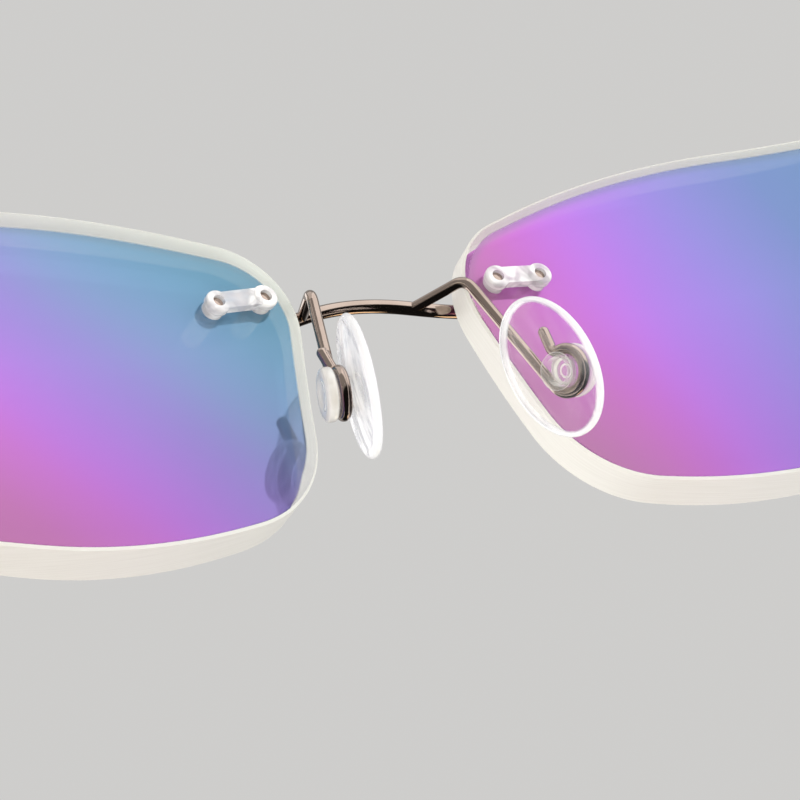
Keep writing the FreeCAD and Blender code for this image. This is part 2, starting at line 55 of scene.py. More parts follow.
camera_data = bpy.data.cameras.new("camera")
camera_data.sensor_width = CAMERA_SENSOR
camera_data.lens = CAMERA_LENS
camera_data.clip_start = 0.02
camera = bpy.data.objects.new("camera", camera_data)
bpy.context.scene.collection.objects.link(camera)
sideways = CAMERA_FORWARD.cross(CAMERA_UP).normalized()
upright = sideways.cross(CAMERA_FORWARD)
turn = Matrix((sideways, upright, -CAMERA_FORWARD)).transposed().to_4x4()
stand = CAMERA_TARGET - CAMERA_FORWARD * CAMERA_DISTANCE
camera.matrix_world = Matrix.Translation(stand) @ turn
bpy.context.scene.camera = camera
bpy.context.scene.view_settings.view_transform = "Standard"


# ---------------------------------------------------------------- studio
# A pale floor, a pale room and soft panels of light. The camera stands lower than the floor,
# so the floor shows only from above, and takes no light away from what is seen from below.
def colour(code):
    """A colour written as sRGB hex, turned to linear."""
    values = [int(code[index:index + 2], 16) / 255 for index in (0, 2, 4)]
    return [value / 12.92 if value <= 0.04045 else ((value + 0.055) / 1.055)**2.4
            for value in values] + [1.0]


def add(tree, kind, links=None, **settings):
    """One more node, with its settings made and its sockets set or linked."""
    made = tree.nodes.new(kind)
    for name, value in settings.items():
        setattr(made, name, value)
    for socket, value in (links or {}).items():
        if isinstance(value, bpy.types.NodeSocket):
            tree.links.new(value, made.inputs[socket])
        else:
            made.inputs[socket].default_value = value
    return made


def new_material(name):
    """An empty material and its tree."""
    material = bpy.data.materials.new(name)
    material.use_nodes = True
    material.node_tree.nodes.clear()
    return material, material.node_tree


FLOOR_SIZE = 4.0
PAINT_PATCH = 400 * MM

# Matt painted board: pale, with a barely uneven coat of paint, in patches of 400 mm.
floor_paint, tree = new_material("matt painted board")
place = add(tree, "ShaderNodeTexCoord")
coat = add(tree, "ShaderNodeTexNoise", {"Vector": place.outputs["Object"],
                                        "Scale": 1 / PAINT_PATCH})
tint = add(tree, "ShaderNodeMix", {0: coat.outputs["Fac"], 6: colour("d9d7d4"),
                                   7: colour("e1dfdc")}, data_type="RGBA")
board = add(tree, "ShaderNodeBsdfDiffuse", {"Color": tint.outputs[2]})
gone = add(tree, "ShaderNodeBsdfTransparent")
side = add(tree, "ShaderNodeNewGeometry")
one_sided = add(tree, "ShaderNodeMixShader", {0: side.outputs["Backfacing"],
                                              1: board.outputs[0], 2: gone.outputs[0]})
add(tree, "ShaderNodeOutputMaterial", {"Surface": one_sided.outputs[0]})

floor_mesh = bpy.data.meshes.new("floor")
half = FLOOR_SIZE / 2
floor_mesh.from_pydata([(-half, -half, 0), (half, -half, 0), (half, half, 0), (-half, half, 0)],
                       [], [(0, 1, 2, 3)])
floor_mesh.materials.append(floor_paint)
floor = bpy.data.objects.new("floor", floor_mesh)
bpy.context.scene.collection.objects.link(floor)
floor.visible_shadow = False
floor.visible_diffuse = False
floor.visible_glossy = False

# The room: pale to the eye, softer as fill light, and darker below in what metal mirrors, as
# in a studio with black cards under the table. The dark fades between two heights of a
# mirrored direction, where -1 is straight down and 1 is straight up.
ROOM_SEEN = 0.64
ROOM_FILL = 0.55
ROOM_MIRRORED_TOP = 0.45
ROOM_MIRRORED_LOW = 0.01
DARK_BELOW = -0.14
PALE_ABOVE = 0.04

world = bpy.data.worlds.new("pale room")
world.use_nodes = True
tree = world.node_tree
tree.nodes.clear()
ray = add(tree, "ShaderNodeLightPath")
place = add(tree, "ShaderNodeTexCoord")
height = add(tree, "ShaderNodeSeparateXYZ", {0: place.outputs["Generated"]})
mirrored = add(tree, "ShaderNodeMapRange", {
    "Value": height.outputs["Z"], "From Min": DARK_BELOW, "From Max": PALE_ABOVE,
    "To Min": ROOM_MIRRORED_LOW, "To Max": ROOM_MIRRORED_TOP})
lit = add(tree, "ShaderNodeMix", {0: ray.outputs["Is Glossy Ray"], 2: ROOM_FILL,
                                  3: mirrored.outputs[0]})
strength = add(tree, "ShaderNodeMix", {0: ray.outputs["Is Camera Ray"], 2: lit.outputs[0],
                                       3: ROOM_SEEN})
room = add(tree, "ShaderNodeBackground", {"Color": colour("fbfaf8"),
                                          "Strength": strength.outputs[0]})
add(tree, "ShaderNodeOutputWorld", {"Surface": room.outputs[0]})
bpy.context.scene.world = world


def softbox(name, direction, distance, size, power, code, in_gloss):
    """A square panel of light that faces the bridge: distance and size in metres, power in
    watts. A panel out of gloss lights the pieces but isn't mirrored in them."""
    data = bpy.data.lights.new(name, "AREA")
    data.size = size
    data.energy = power
    data.color = colour(code)[:3]
    panel = bpy.data.objects.new(name, data)
    bpy.context.scene.collection.objects.link(panel)
    direction = Vector(direction).normalized()
    panel.location = CAMERA_TARGET + direction * distance
    panel.rotation_euler = direction.to_track_quat("Z", "Y").to_euler()
    panel.visible_glossy = in_gloss


softbox("panel behind", (-0.52, 0.62, 0.58), 0.7, 0.9, 3.1, "ffffff", True)
softbox("panel overhead", (0.1, 0.1, 1.0), 0.9, 0.8, 1.3, "ffffff", True)
softbox("panel in front", (0.35, -0.8, 0.5), 0.9, 0.8, 3.0, "ffffff", True)
softbox("panel below", (0.35, 0.35, -0.9), 0.7, 0.8, 2.7, "fffdf6", False)
softbox("panel low beside", (0.75, 0.45, -0.3), 0.7, 0.6, 2.6, "fffdf6", False)
softbox("panel far side", (-0.8, 0.25, 0.05), 0.7, 0.6, 4.2, "ffffff", False)
softbox("strip low in front", (-0.52, -0.62, -0.58), 0.6, 0.22, 0.35, "ffe2b8", True)


# ---------------------------------------------------------------- lenses
# Two thick lenses of CR-39 resin, ground hollow behind and domed in front, with an
# anti-reflection coat whose mirrored colour is painted on, drifting across each face: a painted
# reflection. The ground edge is left satin, its two rims broken by a fine bevel, and two holes
# are drilled at each end.
# The pole is the deepest point of the hollow back, where the lens's own axes start: X out, Y
# back and Z up. The domed front is part of a sphere about its own centre in those axes.
LENS_POLE = Vector((25.9, -66.9172, 14.3739)) * MM
LENS_WRAP = math.radians(3.8)
BACK_RADIUS = 112 * MM
FRONT_RADIUS = 65 * MM
FRONT_CENTRE = Vector((3.144, 59.782, 0)) * MM
BEVEL = 0.22 * MM
HOLE_LEVEL = 7.65 * MM
HOLE_INSET = 2.9 * MM
HOLE_SPACING = 4.3 * MM
HOLE_RADIUS = 0.87 * MM
HOLE_SIDES = 40
DRILL_LENGTH = 30 * MM
RIM_POINTS = 240
# Rings over each face: millimetres in from the rim, close together where the coat ends, then
# shares of the way out from the middle. The edge's rings are shares of the way across it.
RIM_RINGS = (0.22, 0.5, 0.8, 1.0, 1.15, 1.4, 1.8, 2.3)
INNER_SHARES = (0.87, 0.73, 0.59, 0.45, 0.31, 0.18, 0.08)
EDGE_SHARES = (0.25, 0.5, 0.75)
lens_axes = Matrix.Translation(LENS_POLE) @ Matrix.Rotation(LENS_WRAP, 4, "Z")


def lens_outline():
    """The lens's outline in its own axes, as even steps round its CAD solid."""
    into = lens_axes.inverted()
    flat = []
    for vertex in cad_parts["left_lens"].data.vertices:
        point = into @ vertex.co
        flat.append(Vector((point.x, point.z)))
    hull = [flat[index] for index in geometry.convex_hull_2d(flat)]
    runs = [(hull[index] - hull[index - 1]).length for index in range(len(hull))]
    step = sum(runs) / RIM_POINTS
    points, travelled, due = [], 0.0, 0.0
    for index, run in enumerate(runs):
        while due < travelled + run and len(points) < RIM_POINTS:
            share = (due - travelled) / run
            points.append(hull[index - 1].lerp(hull[index], share))
            due += step
        travelled += run
    return points


outline = lens_outline()
middle = sum(outline, Vector((0, 0))) / RIM_POINTS


def inset(distance):
    """The outline moved inwards."""
    moved = []
    for index, point in enumerate(outline):
        along = (outline[(index + 1) % RIM_POINTS] - outline[index - 1]).normalized()
        inwards = Vector((-along.y, along.x))
        if inwards.dot(middle - point) < 0:
            inwards = -inwards
        moved.append(point + inwards * distance)
    return moved


def back_depth(point):
    return BACK_RADIUS - math.sqrt(BACK_RADIUS**2 - point.x**2 - point.y**2)


def front_depth(point):
    return FRONT_CENTRE.y - math.sqrt(
        FRONT_RADIUS**2 - (point.x - FRONT_CENTRE.x)**2 - point.y**2)


def lens_rings():
    """Rings of points from the middle of the back, round the edge, to the front's middle."""
    rings = [[(point, 0.0) for point in inset(distance * MM)] for distance in RIM_RINGS]
    inner = [[(middle.lerp(point, share), 0.0) for point, _ in rings[-1]]
             for share in INNER_SHARES]
    face = [[point for point, _ in ring] for ring in rings + inner]
    made = [[Vector((p.x, back_depth(p), p.y)) for p in ring] for ring in reversed(face)]
    backs = [Vector((p.x, back_depth(p) - BEVEL, p.y)) for p in outline]
    fronts = [Vector((p.x, front_depth(p) + BEVEL, p.y)) for p in outline]
    made.append(backs)
    for share in EDGE_SHARES:
        made.append([a.lerp(b, share) for a, b in zip(backs, fronts)])
    made.append(fronts)
    made += [[Vector((p.x, front_depth(p), p.y)) for p in ring] for ring in face]
    return made


def skin(rings, ends):
    """A closed mesh over rings of points, with a point in the middle of each end."""
    built = bmesh.new()
    loops = [[built.verts.new(point) for point in ring] for ring in rings]
    count = len(rings[0])
    for near, far in zip(loops, loops[1:]):
        for index in range(count):
            after = (index + 1) % count
            built.faces.new((near[index], near[after], far[after], far[index]))
    for ring, end in zip((loops[0], loops[-1]), ends):
        tip = built.verts.new(end)
        for index in range(count):
            built.faces.new((ring[index], ring[(index + 1) % count], tip))
    bmesh.ops.recalc_face_normals(built, faces=built.faces)
    return built


def finish_mesh(built, name, mirror, materials):
    """A mesh object made from a left-hand shape, mirrored for the right."""
    if mirror:
        bmesh.ops.scale(built, vec=(-1, 1, 1), verts=built.verts)
        bmesh.ops.reverse_faces(built, faces=built.faces)
    mesh = bpy.data.meshes.new(name)
    built.to_mesh(mesh)
    built.free()
    for material in materials:
        mesh.materials.append(material)
    made = bpy.data.objects.new(name, mesh)
    bpy.context.scene.collection.objects.link(made)
    return made


def applied(made):
    """The object with its modifiers made part of its mesh."""
    seen = made.evaluated_get(bpy.context.evaluated_depsgraph_get())
    mesh = bpy.data.meshes.new_from_object(seen)
    made.modifiers.clear()
    made.data = mesh
    return made


LEVEL_BAND = 0.5 * MM


def edge_at_level(level, side):
    """How far out the outline lies at a level, on its nose (-1) or its outer side (1)."""
    nearest = [point.x for point in outline
               if abs(point.y - level) < LEVEL_BAND and (point.x - middle.x) * side > 0]
    return sum(nearest) / len(nearest)


def cut_holes(lens, mirror):
    """Drills two holes at each end, in from the outline at the level of the bridge."""
    drills = bmesh.new()
    for side in (-1, 1):
        for step in (0, 1):
            x = edge_at_level(HOLE_LEVEL, side) - side * (HOLE_INSET + step * HOLE_SPACING)
            spot = lens_axes @ Matrix.Translation((x, 0, HOLE_LEVEL)) @ (
                Matrix.Rotation(math.pi / 2, 4, "X"))
            bmesh.ops.create_cone(drills, cap_ends=True, segments=HOLE_SIDES,
                                  radius1=HOLE_RADIUS, radius2=HOLE_RADIUS,
                                  depth=DRILL_LENGTH, matrix=spot)
    tool = finish_mesh(drills, "drills", mirror, [])
    cut = lens.modifiers.new("drill", "BOOLEAN")
    cut.object = tool
    cut.solver = "EXACT"
    applied(lens)
    bpy.data.objects.remove(tool)


# How finely the outline is divided to measure from, and, in millimetres, how much of the bevel
# may count as face and what is stored for a point well inside.
RIM_PARTS = 10
RIM_TOLERANCE = 0.02
WELL_INSIDE = 5.0
# A coated facet looks backwards or forwards by at least this share of its normal.
FACE_TURN = 0.75
LENS_CREASE = math.radians(25)


def mark_lens(lens, mirror):
    """Stores the distance in from the rim in millimetres, and tells the coated faces from the
    ground edge. The domed front counts as well inside right up to its bevel."""
    tree_of_rim = kdtree.KDTree(RIM_POINTS * RIM_PARTS)
    for index, point in enumerate(outline):
        for part in range(RIM_PARTS):
            between = point.lerp(outline[(index + 1) % RIM_POINTS], part / RIM_PARTS)
            tree_of_rim.insert((between.x, between.y, 0), index * RIM_PARTS + part)
    tree_of_rim.balance()
    face_from = BEVEL / MM - RIM_TOLERANCE
    into = lens_axes.inverted()
    flip = -1 if mirror else 1
    rim = lens.data.attributes.new("rim", "FLOAT", "POINT")
    for vertex in lens.data.vertices:
        point = into @ Vector((vertex.co.x * flip, vertex.co.y, vertex.co.z))
        flat = Vector((point.x, point.z))
        inwards = tree_of_rim.find((point.x, point.z, 0))[2] / MM
        in_front = point.y - front_depth(flat) < (back_depth(flat) - front_depth(flat)) / 2
        if in_front and inwards > face_from:
            inwards = WELL_INSIDE
        rim.data[vertex.index].value = inwards
    lens.data.shade_smooth()
    lens.data.set_sharp_from_angle(angle=LENS_CREASE)
    for face in lens.data.polygons:
        coated = all(rim.data[index].value > face_from for index in face.vertices)
        face.material_index = 0 if coated and abs(face.normal.y) > FACE_TURN else 1


# How much the coat hides of what lies behind it, over the face and in the clear ring, how dark
# the painted shadow strip along the top is, and how bright painted shade leaves the lens's foot
# beside the top.
COAT_COVER = 0.9
CLEAR_COVER = 0.06
STRIP_SHADE = 0.45
FOOT_BRIGHTNESS = 0.82
# In millimetres: how far the coat's painted reflection colour drifts with its swell, the clear
# ring's width along the foot of the lens and how softly it ends, and the width of the painted
# shadow strip at the top.
SWELL_DRIFT = 5.0
CLEAR_AT_FOOT = 0.25
CLEAR_SOFTNESS = 0.1
STRIP_WIDTH = 0.9
# The levels between which the ring changes towards the top and towards the foot, and between
# which the painted shade of the mirrored room lifts from dim to full.
TOP_LEVELS = (19 * MM, 29 * MM)
FOOT_LEVELS = (6 * MM, 2 * MM)
DIM_LEVELS = (2 * MM, 18 * MM)


def make_coat(name, clear_at_side, clear_at_top, direction, stops):
    """Anti-reflection coat over clear resin. What it mirrors is painted on as a colour that
    drifts along a direction, by stops of a distance in millimetres and a colour: a painted
    reflection.
    The last part before the rim is clear, so the satin edge shows through it: widest along the
    top, where a painted shadow strip follows it, and hardly there at the foot."""
    start, end = stops[0][0], stops[-1][0]
    material, tree = new_material(name)
    place = add(tree, "ShaderNodeTexCoord")
    # The coat's thickness wanders slowly: one swell in about 25 mm.
    swell = add(tree, "ShaderNodeTexNoise", {"Vector": place.outputs["Object"], "Scale": 40.0,
                                             "Detail": 1.0})
    across = add(tree, "ShaderNodeVectorMath", {0: place.outputs["Object"],
                                                1: Vector(direction) / MM},
                 operation="DOT_PRODUCT")
    drift = add(tree, "ShaderNodeMath", {0: swell.outputs["Fac"], 1: SWELL_DRIFT,
                                         2: across.outputs["Value"]}, operation="MULTIPLY_ADD")
    share = add(tree, "ShaderNodeMapRange", {"Value": drift.outputs[0],
                                             "From Min": start + SWELL_DRIFT / 2,
                                             "From Max": end + SWELL_DRIFT / 2})
    # Painted reflection: the ramp holds the colours that the coat mirrors, fixed to the lens.
    ramp = add(tree, "ShaderNodeValToRGB", {"Fac": share.outputs[0]})
    ramp.color_ramp.interpolation = "B_SPLINE"
    while len(ramp.color_ramp.elements) < len(stops):
        ramp.color_ramp.elements.new(0.5)
    for element, (distance, code) in zip(ramp.color_ramp.elements, stops):
        element.position = (distance - start) / (end - start)
        element.color = colour(code)
    rim = add(tree, "ShaderNodeAttribute", attribute_name="rim")
    height = add(tree, "ShaderNodeSeparateXYZ", {0: place.outputs["Object"]})
    top = add(tree, "ShaderNodeMapRange", {"Value": height.outputs["Z"],
                                           "From Min": TOP_LEVELS[0], "From Max": TOP_LEVELS[1]},
              interpolation_type="SMOOTHSTEP")
    foot = add(tree, "ShaderNodeMapRange", {"Value": height.outputs["Z"],
                                            "From Min": FOOT_LEVELS[0],
                                            "From Max": FOOT_LEVELS[1]},
               interpolation_type="SMOOTHSTEP")
    inwards = add(tree, "ShaderNodeMath", {0: top.outputs[0], 1: clear_at_side - clear_at_top,
                                           2: rim.outputs["Fac"]}, operation="MULTIPLY_ADD")
    inwards = add(tree, "ShaderNodeMath", {0: foot.outputs[0],
                                           1: clear_at_side - CLEAR_AT_FOOT,
                                           2: inwards.outputs[0]}, operation="MULTIPLY_ADD")
    strip = add(tree, "ShaderNodeMapRange", {"Value": inwards.outputs[0],
                                             "From Min": clear_at_side,
                                             "From Max": clear_at_side + STRIP_WIDTH,
                                             "To Min": STRIP_SHADE, "To Max": 0.0},
                interpolation_type="SMOOTHSTEP")
    # Painted shadow of the ground edge: a grey-blue strip along the top, just inside the clear
    # ring.
    darker = add(tree, "ShaderNodeMath", {0: strip.outputs[0], 1: top.outputs[0]},
                 operation="MULTIPLY")
    shaded = add(tree, "ShaderNodeMix", {0: darker.outputs[0], 6: ramp.outputs["Color"],
                                         7: colour("5d7380")}, data_type="RGBA")
    # Painted shade: the coat's colour is darkened towards the bottom of the lens, where the
    # mirrored room is dimmer.
    fall = add(tree, "ShaderNodeMapRange", {"Value": height.outputs["Z"],
                                            "From Min": DIM_LEVELS[0],
                                            "From Max": DIM_LEVELS[1],
                                            "To Min": FOOT_BRIGHTNESS})
    shaded = add(tree, "ShaderNodeMix", {0: 1.0, 6: shaded.outputs[2], 7: fall.outputs[0]},
                 data_type="RGBA", blend_type="MULTIPLY")
    # Wiping leaves a faint grain in the gloss, drawn at 0.4 mm.
    wiped = add(tree, "ShaderNodeTexNoise", {"Vector": place.outputs["Object"],
                                             "Scale": 2500.0})
    gloss = add(tree, "ShaderNodeMapRange", {"Value": wiped.outputs["Fac"], "To Min": 0.03,
                                             "To Max": 0.07})
    # Half metallic, so that what the coat mirrors takes on its colour.
    surface = add(tree, "ShaderNodeBsdfPrincipled", {
        "Base Color": shaded.outputs[2], "Roughness": gloss.outputs[0], "Metallic": 0.5,
        "IOR": 1.5})
    clear = add(tree, "ShaderNodeBsdfTransparent")
    cover = add(tree, "ShaderNodeMapRange", {"Value": inwards.outputs[0],
                                             "From Min": clear_at_side - CLEAR_SOFTNESS,
                                             "From Max": clear_at_side + CLEAR_SOFTNESS,
                                             "To Min": CLEAR_COVER, "To Max": COAT_COVER},
                interpolation_type="SMOOTHSTEP")
    both = add(tree, "ShaderNodeMixShader", {0: cover.outputs[0], 1: clear.outputs[0],
                                             2: surface.outputs[0]})
    add(tree, "ShaderNodeOutputMaterial", {"Surface": both.outputs[0]})
    return material


# Distances in millimetres along each lens's drift, with the coat's painted reflection colour
# there.
left_coat = make_coat(
    "left anti-reflection coat on resin", clear_at_side=1.05, clear_at_top=1.5,
    direction=(0.78, 0, -0.62),
    stops=[(-5.7, "528296"), (0.6, "628cab"), (5.6, "7389b3"), (10.3, "8479bc"),
           (15.3, "9471c3"), (20.3, "a866c7"), (24.3, "b462ba"), (30.3, "ae639e"),
           (44.3, "a8638f")])
right_coat = make_coat(
    "right anti-reflection coat on resin", clear_at_side=0.35, clear_at_top=0.9,
    direction=(-0.95, 0, 0.3),
    stops=[(13.9, "a56c94"), (19.9, "b464ae"), (23.9, "b162be"), (27.4, "ab68cc"),
           (30.9, "9e6dcc"), (34.9, "9174ca"), (38.9, "837bc5"), (42.9, "767ebb"),
           (46.9, "6b7eb4"), (62.9, "5a88a4")])

# Ground resin: satin, cream white, with fine wheel marks along the edge. It glows a little,
# because light comes through from behind. Marks of a 600 grit wheel, drawn at 0.15 mm.
satin_edge, tree = new_material("ground edge of resin")
place = add(tree, "ShaderNodeTexCoord")
along = add(tree, "ShaderNodeMapping", {"Vector": place.outputs["Object"],
                                        "Scale": (150, 6500, 150)})
marks = add(tree, "ShaderNodeTexNoise", {"Vector": along.outputs[0], "Scale": 1.0,
                                         "Detail": 3.0})
tint = add(tree, "ShaderNodeMix", {0: marks.outputs["Fac"], 6: colour("e0e0d6"),
                                   7: colour("f0f1e8")}, data_type="RGBA")
ground = add(tree, "ShaderNodeBump", {"Height": marks.outputs["Fac"], "Strength": 0.25,
                                      "Distance": 0.02 * MM})
rough = add(tree, "ShaderNodeMapRange", {"Value": marks.outputs["Fac"], "To Min": 0.42,
                                         "To Max": 0.62})
skin_light = add(tree, "ShaderNodeBsdfPrincipled", {
    "Base Color": tint.outputs[2], "Roughness": rough.outputs[0], "IOR": 1.5,
    "Normal": ground.outputs[0]})
through = add(tree, "ShaderNodeBsdfTranslucent", {"Color": tint.outputs[2]})
glow = add(tree, "ShaderNodeMixShader", {0: 0.34, 1: skin_light.outputs[0],
                                         2: through.outputs[0]})
add(tree, "ShaderNodeOutputMaterial", {"Surface": glow.outputs[0]})

centres = [Vector((middle.x, back_depth(middle), middle.y)),
           Vector((middle.x, front_depth(middle), middle.y))]
for name, coat_material in (("left", left_coat), ("right", right_coat)):
    mirror = name == "right"
    built = skin(lens_rings(), centres)
    built.transform(lens_axes)
    lens = finish_mesh(built, name + "_ground_lens", mirror, [coat_material, satin_edge])
    cut_holes(lens, mirror)
    mark_lens(lens, mirror)
    # Clear resin lets light through, so a lens throws no shadow.
    lens.visible_shadow = False
    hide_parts(name + "_lens")
    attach(lens, "front")


# ---------------------------------------------------------------- bridge and pad arms
# One bent wire of beta titanium joins the lenses, with four short pins brazed to it, and a
# thinner bent wire is brazed on each side to carry a nose pad. All are drawn, bent and
# barrel polished, which leaves a warm bright surface with faint lines.
def dress(node, material):
    """Gives a CAD solid its finish."""
    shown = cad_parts[node]
    shown.data.materials.clear()
    shown.data.materials.append(material)


def make_metal(name, light, dark, roughness, mark, depth):
    """Polished metal with soft marks of a size and depth in millimetres, and a tone that
    drifts over about 3 mm."""
    material, tree = new_material(name)
    place = add(tree, "ShaderNodeTexCoord")
    tone = add(tree, "ShaderNodeTexNoise", {"Vector": place.outputs["Object"], "Scale": 350.0,
                                            "Detail": 2.0})
    tint = add(tree, "ShaderNodeMix", {0: tone.outputs["Fac"], 6: colour(dark),
                                       7: colour(light)}, data_type="RGBA")
    marks = add(tree, "ShaderNodeTexNoise", {"Vector": place.outputs["Object"],
                                             "Scale": 1 / (mark * MM), "Detail": 3.0})
    rough = add(tree, "ShaderNodeMapRange", {"Value": marks.outputs["Fac"],
                                             "To Min": roughness * 0.7,
                                             "To Max": roughness * 1.3})
    bumps = add(tree, "ShaderNodeBump", {"Height": marks.outputs["Fac"], "Strength": 0.3,
                                         "Distance": depth * MM})
    surface = add(tree, "ShaderNodeBsdfPrincipled", {
        "Base Color": tint.outputs[2], "Metallic": 1.0, "Roughness": rough.outputs[0],
        "Normal": bumps.outputs[0]})
    add(tree, "ShaderNodeOutputMaterial", {"Surface": surface.outputs[0]})
    return material


# Barrel polished titanium: a warm grey mirror, its marks 0.25 mm apart so that they show.
titanium = make_metal("barrel polished titanium wire", "baa99e", "9e8d82", roughness=0.1,
                      mark=0.25, depth=0.004)
for node in ("bridge", "left_pad_arm", "right_pad_arm"):
    dress(node, titanium)


# ---------------------------------------------------------------- double plugs
# Four double plugs of clear nylon, each moulded in one piece: two split sleeves pressed
# through the lens and two stepped heads joined by a saddle. The pins grip inside them.

# Clear moulded nylon: glossy, with milky clouds about 1.6 mm across, and whiter where its
# walls are seen edge on.
nylon, tree = new_material("clear moulded nylon")
place = add(tree, "ShaderNodeTexCoord")
flow = add(tree, "ShaderNodeTexNoise", {"Vector": place.outputs["Object"], "Scale": 620.0,
                                        "Detail": 1.0, "Distortion": 0.9})
tint = add(tree, "ShaderNodeMix", {0: flow.outputs["Fac"], 6: colour("d9d4dc"),
                                   7: colour("fffef9")}, data_type="RGBA")
facing = add(tree, "ShaderNodeLayerWeight", {"Blend": 0.35})
milk = add(tree, "ShaderNodeMapRange", {"Value": flow.outputs["Fac"], "From Min": 0.35,
                                        "From Max": 0.62, "To Min": 0.42, "To Max": 0.94})
cover = add(tree, "ShaderNodeMath", {0: facing.outputs["Facing"], 1: milk.outputs[0]},
            operation="MAXIMUM")
surface = add(tree, "ShaderNodeBsdfPrincipled", {
    "Base Color": tint.outputs[2], "Roughness": 0.08, "IOR": 1.53, "Coat Weight": 1.0,
    "Coat Roughness": 0.03})
clear = add(tree, "ShaderNodeBsdfTransparent")
both = add(tree, "ShaderNodeMixShader", {0: cover.outputs[0], 1: clear.outputs[0],
                                         2: surface.outputs[0]})
add(tree, "ShaderNodeOutputMaterial", {"Surface": both.outputs[0]})
for node in ("left_bridge_plug", "right_bridge_plug", "left_temple_plug", "right_temple_plug"):
    dress(node, nylon)


# ---------------------------------------------------------------- nose pads
# Two oval pads of clear silicone, cast with a rounded bead round the rim and a crowned face.
# Each is moulded on a clear core, whose post sits in the loop of its arm.
PAD_CENTRE = Vector((9.5, -61.3172, 10.0739)) * MM
PAD_SPLAY = math.radians(16.3)
PAD_TILT = math.radians(8.2)
PAD_LEAN = math.radians(4.0)
PAD_HALF_LENGTH = 6.5
PAD_HALF_WIDTH = 4.45
PAD_POINTS = 96
# Millimetres in from the rim, then out from the pad's middle plane on the side of the nose.
NOSE_SIDE = ((0.0, -0.30), (0.05, -0.47), (0.15, -0.60), (0.30, -0.70), (0.47, -0.74),
             (0.64, -0.71), (0.80, -0.66), (0.95, -0.66), (1.15, -0.71))
ARM_SIDE = ((0.05, -0.13), (0.15, 0.0), (0.30, 0.10), (0.47, 0.14), (0.64, 0.11), (0.80, 0.07),
            (0.95, 0.07), (1.15, 0.11))
PAD_SHARES = (0.9, 0.78, 0.64, 0.5, 0.36, 0.22, 0.1)
NOSE_CROWN = -1.2
ARM_CROWN = 0.6
# What is stored as the distance in from the rim, in millimetres, at the middle of a side and
# at the edge of its crown.
MIDDLE_DEPTH = 5.0
CROWN_EDGE_DEPTH = 1.0

pad_out = Vector((math.cos(PAD_TILT) * math.cos(PAD_SPLAY),
                  -math.cos(PAD_TILT) * math.sin(PAD_SPLAY), math.sin(PAD_TILT)))
pad_up = (Vector((0, 0, 1)) - pad_out * pad_out.z).normalized()
pad_up = Quaternion(pad_out, PAD_LEAN) @ pad_up
pad_back = pad_up.cross(pad_out)
pad_axes = Matrix.Translation(PAD_CENTRE) @ (
    Matrix((pad_back, pad_up, pad_out)).transposed().to_4x4())


def pad_ring(inwards, level, share=1.0):
    """A ring round the pad, in its own axes: x back, y up, z out."""
    ring = []
    for index in range(PAD_POINTS):
        turn = 2 * math.pi * index / PAD_POINTS
        point = Vector((PAD_HALF_WIDTH * math.cos(turn), PAD_HALF_LENGTH * math.sin(turn)))
        outwards = Vector((PAD_HALF_LENGTH * math.cos(turn),
                           PAD_HALF_WIDTH * math.sin(turn))).normalized()
        point = (point - outwards * inwards) * share
        ring.append(Vector((point.x, point.y, level)) * MM)
    return ring


def crowned(edge, crown):
    """The rings between the bead and the middle of one side."""
    inwards, level = edge
    return [pad_ring(inwards, crown + (level - crown) * share**2, share)
            for share in PAD_SHARES]


# Clear cast silicone: water clear where it is thin, white along the bead and where it is seen
# edge on, with silvery flow lines along the pad, about 1.2 mm apart.
silicone, tree = new_material("clear cast silicone")
place = add(tree, "ShaderNodeTexCoord")
rim = add(tree, "ShaderNodeAttribute", attribute_name="rim")
lines = add(tree, "ShaderNodeMapping", {"Vector": place.outputs["Object"],
                                        "Scale": (850, 850, 190)})
flow = add(tree, "ShaderNodeTexNoise", {"Vector": lines.outputs[0], "Scale": 1.0,
                                        "Detail": 2.0})
silver = add(tree, "ShaderNodeMapRange", {"Value": flow.outputs["Fac"], "From Min": 0.36,
                                          "From Max": 0.58}, interpolation_type="SMOOTHSTEP")
bead = add(tree, "ShaderNodeMapRange", {"Value": rim.outputs["Fac"], "From Min": 0.22,
                                        "From Max": 0.58, "To Min": 0.93, "To Max": 0.0},
           interpolation_type="SMOOTHSTEP")
whiter = add(tree, "ShaderNodeMath", {0: silver.outputs[0], 1: bead.outputs[0]},
             operation="MAXIMUM")
tint = add(tree, "ShaderNodeMix", {0: whiter.outputs[0], 6: colour("a2a6b3"),
                                   7: colour("ffffff")}, data_type="RGBA")
facing = add(tree, "ShaderNodeLayerWeight", {"Blend": 0.4})
edge_on = add(tree, "ShaderNodeMapRange", {"Value": facing.outputs["Facing"], "From Min": 0.25,
                                           "From Max": 0.8, "To Min": 0.03, "To Max": 0.78})
streak = add(tree, "ShaderNodeMapRange", {"Value": flow.outputs["Fac"], "From Min": 0.35,
                                          "From Max": 0.7, "To Min": 0.6, "To Max": 1.35})
milk = add(tree, "ShaderNodeMath", {0: edge_on.outputs[0], 1: streak.outputs[0]},
           operation="MULTIPLY")
cover = add(tree, "ShaderNodeMath", {0: bead.outputs[0], 1: milk.outputs[0]},
            operation="MAXIMUM")
surface = add(tree, "ShaderNodeBsdfPrincipled", {
    "Base Color": tint.outputs[2], "Roughness": 0.12, "IOR": 1.41, "Coat Weight": 0.6,
    "Coat Roughness": 0.05})
through = add(tree, "ShaderNodeBsdfTranslucent", {"Color": tint.outputs[2]})
soft = add(tree, "ShaderNodeMixShader", {0: 0.3, 1: surface.outputs[0], 2: through.outputs[0]})
clear = add(tree, "ShaderNodeBsdfTransparent")
both = add(tree, "ShaderNodeMixShader", {0: cover.outputs[0], 1: clear.outputs[0],
                                         2: soft.outputs[0]})
add(tree, "ShaderNodeOutputMaterial", {"Surface": both.outputs[0]})

